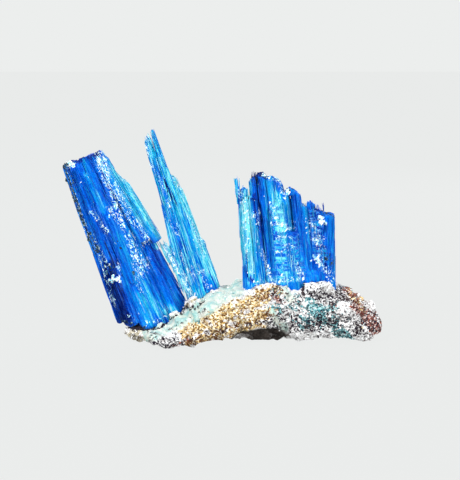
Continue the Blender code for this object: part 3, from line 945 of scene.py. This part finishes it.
def crystal_core(crystal, node):
    """The crystal's grooved body with its jagged head, and the fields that paint it."""
    points, _, faces = read_mesh(node.data)
    fibre = to_fibre(points / MM - SHIFT, crystal.lean)
    fibre[:, 2] /= STRETCH
    fibre, normals, faces = remeshed(fibre, faces, crystal.voxel)
    long_way = fibre * (1.0, 1.0, STRETCH)
    relief, (crease, fine_crease), (mark, fine_mark) = grooved(long_way, crystal.seed)
    seen_at = ragged_pixels(from_fibre(long_way, crystal.lean), crystal.seed + SALT_SEED, SALT_STRAY)
    banded = covered(seen_at, crystal.bands)
    crease *= 1.0 - 0.6 * banded
    relief *= crystal.relief * (1.0 - 0.5 * banded)
    sideways = unit(normals * (1.0, 1.0, 0.0))
    sideways *= ease(1.6 * np.linalg.norm(normals[:, :2], axis=1))[:, None]
    moved = long_way + sideways * relief[:, None]
    low, high = column_ends(long_way)
    level = long_way[:, 2]
    drop = crystal.head_drop * (0.55 * mark + 0.45 * fine_mark) ** 1.5
    moved[:, 2] -= drop * ease(1.0 - (high - level) / HEAD_REACH)
    moved[:, 2] -= FOOT_DROP * ease(1.0 - (level - low) / FOOT_REACH)
    placed = from_fibre(moved, crystal.lean)
    tone = painted(ragged_pixels(placed, crystal.seed, TONE_STRAY), crystal.tones, crystal.base_tone)
    fields = {
        "tone": tone + crystal.relief * (0.20 * (mark - 0.5) + 0.14 * (fine_mark - 0.5)),
        "cyan": cyan_share(tone),
        "lined": (0.55 + 0.60 * cyan_share(tone)) * (1.0 - 0.7 * banded),
        "frayed": covered(seen_at, crystal.strewn[0].strokes),
        "banded": banded,
        # The grooves between the fibres, where the tone is darkened as painted shade.
        "crease": np.maximum(0.8 * crease, 0.5 * fine_crease),
        "fibre": long_way * (1.0, 1.0, SQUASH),
    }
    return surface_of(placed, faces), fields


# Slivers: their middles, the way they run and face, how far they run from their middles, their
# widths and their tones.
Slivers = namedtuple("Slivers", "middles axes outs spans widths tones")


def prisms(slivers, dice):
    """Points and faces of tapered slivers with four sides."""
    count = len(slivers.middles)
    sides = np.cross(slivers.axes, slivers.outs)
    stations = np.linspace(slivers.spans[:, 0], slivers.spans[:, 1], len(SLIVER_RINGS), axis=1)
    grow = np.stack([dice.uniform(*ends, count) for ends in SLIVER_RINGS], axis=1)
    corners = 2.0 * math.pi / SLIVER_SIDES * np.arange(SLIVER_SIDES)
    turns = dice.uniform(-0.5, 0.5, (count, 1)) + corners
    turns = turns + dice.uniform(-0.3, 0.3, (count, SLIVER_SIDES))
    ring = np.cos(turns)[..., None] * sides[:, None]
    ring = ring + SLIVER_FLATNESS * np.sin(turns)[..., None] * slivers.outs[:, None]
    ring = ring * slivers.widths[:, None, None] / 2.0
    points = slivers.middles[:, None, None] + stations[:, :, None, None] * slivers.axes[:, None, None]
    points = points + grow[:, :, None, None] * ring[:, None]
    low = np.arange(SLIVER_POINTS - SLIVER_SIDES)
    turned = low - low % SLIVER_SIDES + (low + 1) % SLIVER_SIDES
    walls = np.stack([low, turned, turned + SLIVER_SIDES, low + SLIVER_SIDES], axis=1)
    ends = np.stack([low[:SLIVER_SIDES][::-1], low[-SLIVER_SIDES:] + SLIVER_SIDES])
    faces = np.concatenate([walls, ends])
    offsets = np.arange(count)[:, None, None] * SLIVER_POINTS
    return points.reshape(-1, 3), (faces[None] + offsets).reshape(-1, SLIVER_SIDES)


def span_on(core, start, axis, out, wanted):
    """A straight fibre's mean place on the surface, and how far down and up it can run."""
    places = [start]
    for way in (1.0, -1.0):
        place = start
        for _ in range(int(wanted)):
            near, face_out, _, away = core.tree.find_nearest(Vector(place + way * axis))
            if away > SPAN_STRAY or np.array(face_out) @ out < SPAN_TURN:
                break
            place = np.array(near)
            places.append(place)
    along = (np.array(places) - start) @ axis
    middle = np.mean(places, axis=0)
    return middle - axis * ((middle - start) @ axis), (along.min(), along.max())


def laid_slivers(crystal, core, banded, dice):
    """Slivers that are partly sunk in the crystal's sides, along its fibres."""
    direction = fibre_direction(core.points, crystal.lean)
    weights = (1.0 - np.abs((core.normals * direction).sum(axis=1))) ** 4 * (1.0 - 0.9 * banded)
    picked = dice.choice(len(weights), crystal.fibre_count, p=weights / weights.sum())
    axes = direction[picked]
    outs = core.normals[picked]
    outs = unit(outs - axes * (outs * axes).sum(axis=1, keepdims=True))
    middles, spans = [], []
    for number, axis, out in zip(picked, axes, outs):
        middle, span = span_on(core, core.points[number], axis, out, dice.uniform(*SLIVER_LENGTHS))
        middles.append(middle + out * dice.uniform(*SLIVER_SEATS))
        spans.append(span)
    middles, spans = np.array(middles), np.array(spans)
    kept = np.ptp(spans, axis=1) > SLIVER_LENGTHS[0]
    middles = middles[kept]
    seen_at = ragged_pixels(middles, crystal.seed, TONE_STRAY)
    tones = painted(seen_at, crystal.tones, crystal.base_tone)
    tones += dice.normal(0.02, 0.15 * crystal.relief, len(tones))
    widths = dice.uniform(*SLIVER_WIDTHS, len(middles))
    return Slivers(middles, axes[kept], outs[kept], spans[kept], widths, tones)


def tuft_strands(tuft, dice):
    """Free strands that run from about the tuft's foot towards its head."""
    many = (tuft.count, 3)
    feet = np.array(tuft.foot) + dice.normal(0.0, 0.4, many) * (tuft.spread, 1.0, 1.0)
    heads = feet + np.array(tuft.head) - tuft.foot
    heads += dice.normal(0.0, 0.25, many)
    length = np.linalg.norm(heads - feet, axis=1) * dice.uniform(0.45, 1.0, tuft.count)
    along = unit(heads - feet)
    outs = unit(np.cross(along, dice.normal(0.0, 1.0, many)))
    spans = np.stack([np.zeros_like(length), length], axis=1)
    widths = tuft.width * dice.uniform(0.6, 1.3, tuft.count)
    tones = tuft.tone + dice.normal(0.0, 0.14, tuft.count)
    return Slivers(feet, along, outs, spans, widths, tones)


def crystal_fibres(crystal, core, banded, dice):
    """Points, faces and fields of the crystal's slivers and free strands."""
    parts = [laid_slivers(crystal, core, banded, dice)]
    parts += [tuft_strands(tuft, dice) for tuft in crystal.tufts]
    slivers = Slivers(*(np.concatenate(column) for column in zip(*parts)))
    points, faces = prisms(slivers, dice)
    own = np.repeat(dice.uniform(0, 50, slivers.middles.shape), SLIVER_POINTS, axis=0)
    tones = np.repeat(slivers.tones, SLIVER_POINTS)
    salted_at = ragged_pixels(points, crystal.seed + SALT_SEED, SALT_STRAY)
    return points, faces, {
        "tone": tones,
        "cyan": cyan_share(tones),
        "lined": np.full(len(points), 0.8),
        "frayed": 0.8 * covered(salted_at, crystal.strewn[0].strokes),
        "banded": 0.6 * covered(pixels_of(points), crystal.bands),
        "crease": np.zeros(len(points)),
        "fibre": to_fibre(points, crystal.lean) * (1.0, 1.0, SQUASH) + own,
    }


def strewn_chips(crystal, strewn, core, dice):
    """Angular chips that sit on the crystal under the strokes, in chains like the lace's lines."""
    salted_at = ragged_pixels(core.points, crystal.seed + SALT_SEED, SALT_STRAY)
    share = covered(salted_at, strewn.strokes) + STRAY_CHIPS * strewn.chained
    share *= 0.1 + np.abs(core.normals @ FORWARD)
    picked = dice.choice(len(share), TRIED_CHIPS * strewn.count, p=share / share.sum())
    axes = fibre_direction(core.points[picked], crystal.lean)
    places = core.points[picked] + axes * dice.uniform(-0.45, 0.45, (len(picked), 1))
    strayed = places + 0.5 * waves(places, 0.9, crystal.seed)[:, None]
    border = cells(strayed, LACE_CELL, crystal.seed)[0]
    clumps = ease(0.5 + 1.4 * waves(places, 1.6, crystal.seed + CLUMP_SEED))
    weights = 1.0 - strewn.chained * (1.0 - clumps * (1.03 - ease(border / LACE_LINE)))
    chosen = dice.choice(len(weights), strewn.count, replace=False, p=weights / weights.sum())
    seats = [core.tree.find_nearest(Vector(place))[:2] for place in places[chosen]]
    seated = np.array([place for place, _ in seats])
    normals = np.array([normal for _, normal in seats])
    along = (1.0 - strewn.level) * axes[chosen] + strewn.level * RIGHT
    along = along + dice.normal(0.0, 0.35, along.shape)
    sizes = np.exp(dice.normal(0.0, 0.40, (len(chosen), 1))) * strewn.size
    points, faces = shards(seated + CHIP_LIFT * normals, along, normals, sizes, dice)
    return points, faces, {"fibre": points}


def make_crystal(crystal, node, looks):
    dice = np.random.default_rng(crystal.seed)
    core, fields = crystal_core(crystal, node)
    body = add_piece(
        f"{crystal.node}.body", core.points, core.faces, fields, looks["crystal"], crystal.node
    )
    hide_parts(crystal.node)
    made = crystal_fibres(crystal, core, fields["banded"], dice)
    add_piece(f"{crystal.node}.fibres", *made, looks["crystal"], crystal.node)
    for strewn in crystal.strewn:
        made = strewn_chips(crystal, strewn, core, dice)
        add_piece(f"{crystal.node}.{strewn.name}", *made, looks[strewn.look], crystal.node)


# Rock


def rock_body(node):
    """The rock's surface, with blocks, grains and pits, and the fields that paint it."""
    points, _, faces = read_mesh(node.data)
    points, normals, faces = remeshed(points / MM - SHIFT, faces, ROCK_VOXEL)
    block_border, block = cells(points, BLOCKS.size, BLOCKS.seed)
    grain_border, grain = cells(points, GRAINS.size, GRAINS.seed)
    crease = 1.0 - ease(block_border / 0.16)
    gap = 1.0 - ease(grain_border / 0.30)
    slope = covered(ragged_pixels(points, ROCK_SEED, ROCK_STRAY), ROCK_ZONES["cyan"])
    rough = 1.0 - 0.75 * slope
    crease *= rough
    gap *= rough
    relief = BLOCKS.height * rough * (0.5 * block - 0.25 - 0.7 * crease)
    relief += GRAINS.height * (0.8 * rough * (grain - 0.5) - 0.8 * gap)
    relief += DUST.height * waves(points, DUST.size, DUST.seed)
    on_ground = ease(1.0 - points[:, 2] / 0.6)
    moved = points + normals * (relief * (1.0 - on_ground))[:, None]
    pixels = ragged_pixels(moved, ROCK_SEED, ROCK_STRAY)
    fields = {zone: covered(pixels, strokes) for zone, strokes in ROCK_ZONES.items()}
    # Painted shade: how far inside the hollow each point lies, where the rock is painted dark.
    inside = 1.0 - np.linalg.norm((moved - HOLLOW_CENTRE) / HOLLOW_RADII, axis=1)
    fields["hollow_shade"] = ease(0.5 + 7.0 * inside)
    # The creases between blocks and the gaps between grains, where the colour is darkened as painted
    # shade.
    fields["crease"] = np.maximum(crease * 0.9, gap * 0.45)
    stray = [waves(moved, 0.9, GRAIN_SEED + axis) for axis in range(3)]
    fields["grain"] = moved + 0.35 * np.stack(stray, axis=1)
    return surface_of(moved, faces), fields


def loose_grains(rock, weights, kind, dice):
    """Angular grains that are stuck on the rock, drawn by weight over its surface."""
    many = (kind.count, 3)
    picked = dice.choice(len(weights), kind.count, p=weights / weights.sum())
    spread = np.exp(dice.normal(math.log(kind.size), 0.35, (kind.count, 1)))
    sizes = spread * dice.uniform(0.6, 1.2, many)
    normals = unit(rock.normals[picked] + dice.normal(0.0, 0.35, many))
    points, faces = shards(rock.points[picked], dice.normal(0.0, 1.0, many), normals, sizes, dice)
    points[:, 2] = np.maximum(points[:, 2], 0.0)
    own = np.repeat(dice.uniform(0, 40, many), len(OCTAHEDRON[0]), axis=0)
    return points, faces, {"grain": points + own}


def make_rock(node):
    dice = np.random.default_rng(ROCK_DICE)
    rock, fields = rock_body(node)
    body = add_piece("matrix.rock", rock.points, rock.faces, fields, rock_finish(), "matrix")
    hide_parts("matrix")
    # No loose grains on the ground, nor in the painted shade of the hollow.
    clear = ease((rock.points[:, 2] - 0.5) / 0.8) * (1.0 - fields["hollow_shade"])
    clear *= 1.0 - 0.9 * fields["cyan"]
    bare = 1.0 - 0.8 * np.maximum(fields["ochre"], fields["rust"])
    shares = {zone: fields[zone] + STRAY_GRAINS for zone in ("ochre", "teal", "rust")}
    # Dark grains gather where the rock is sooty and in the painted shade of the gaps; white ones keep
    # away from both.
    shares["white"] = bare * np.exp(-1.5 * fields["soot_and_shade"])
    shares["dark"] = fields["soot_and_shade"] + STRAY_DARK
    for kind in LOOSE_GRAINS:
        made = loose_grains(rock, shares[kind.name] * clear, kind, dice)
        finish = grain_finish(f"{kind.name} grains", kind.light, kind.dark)
        add_piece(f"matrix.{kind.name}_grains", *made, finish, "matrix")


# Studio


def aimed(name, data, place, direction):
    """A camera or a light at a place in metres, which looks in this direction."""
    made = new_object(name, data)
    made.location = place
    made.rotation_mode = "QUATERNION"
    made.rotation_quaternion = Vector(direction).to_track_quat("-Z", "Y")
    return made


def make_camera():
    data = bpy.data.cameras.new("camera")
    data.lens = CAMERA_LENS
    data.sensor_width = SENSOR
    bpy.context.scene.camera = aimed("camera", data, (CAMERA_PLACE + SHIFT) * MM, FORWARD)


def make_light(light):
    data = bpy.data.lights.new(light.name, "AREA")
    data.energy = light.power
    data.size = light.size * MM
    place = Vector(light.place)
    aimed(light.name, data, place * MM, Vector(LIGHTS_AIM) - place)


def add_stage(name, points, faces, glow):
    """A pale surface that the camera sees and that gives no light to the specimen."""
    mesh = plain_mesh(name, np.array(points), np.array(faces))
    stage = new_object(name, mesh)
    for rays in ("diffuse", "glossy", "transmission", "shadow"):
        setattr(stage, f"visible_{rays}", False)
    paint = Paint(name, 1.0, 0.0)
    paint.colour(FLOOR_SHADE)
    paint.join(PALE_GREY, paint.shader.inputs["Emission Color"])
    paint.shader.inputs["Emission Strength"].default_value = glow
    mesh.materials.append(paint.material)


def make_studio():
    """A pale floor in a pale room, two soft lights in front and one behind."""
    scene = bpy.context.scene
    scene.view_settings.view_transform = "Standard"
    world = bpy.data.worlds.new("soft room light")
    world.use_nodes = True
    background = world.node_tree.nodes["Background"]
    background.inputs["Color"].default_value = (1.0, 1.0, 1.0, 1.0)
    background.inputs["Strength"].default_value = ROOM_LIGHT
    scene.world = world
    side = ROOM_SIDE
    ring = ((-side, -side), (side, -side), (side, side), (-side, side))
    add_stage("floor", [(x, y, FLOOR_LEVEL) for x, y in ring], [(0, 1, 2, 3)], FLOOR_GLOW)
    walls = [(x, y, z) for z in (-side, side) for x, y in ring]
    sides = [(n, (n + 1) % 4, (n + 1) % 4 + 4, n + 4) for n in range(4)]
    add_stage("backdrop", walls, sides + [(4, 5, 6, 7)], WALL_GLOW)
    for light in LIGHTS:
        make_light(light)


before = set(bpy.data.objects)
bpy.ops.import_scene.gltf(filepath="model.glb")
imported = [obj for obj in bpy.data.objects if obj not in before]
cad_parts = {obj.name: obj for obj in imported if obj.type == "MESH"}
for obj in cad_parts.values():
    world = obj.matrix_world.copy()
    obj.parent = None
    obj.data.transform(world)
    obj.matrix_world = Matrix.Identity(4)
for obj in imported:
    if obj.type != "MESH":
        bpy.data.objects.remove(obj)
CAD_BOX = [tuple(corner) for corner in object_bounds()]
make_camera()
make_studio()
make_rock(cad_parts["matrix"])
looks = {
    "crystal": crystal_finish(),
    "salt": growth_finish("white salt", 0.75, SALT, 0.5, 3.0, 0.4),
    "crust": growth_finish("dark crust", 0.7, CRUST, 0.45, 4.0, 0.5),
}
for crystal in (BLADE, SPIRE, CLUSTER):
    make_crystal(crystal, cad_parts[crystal.node], looks)
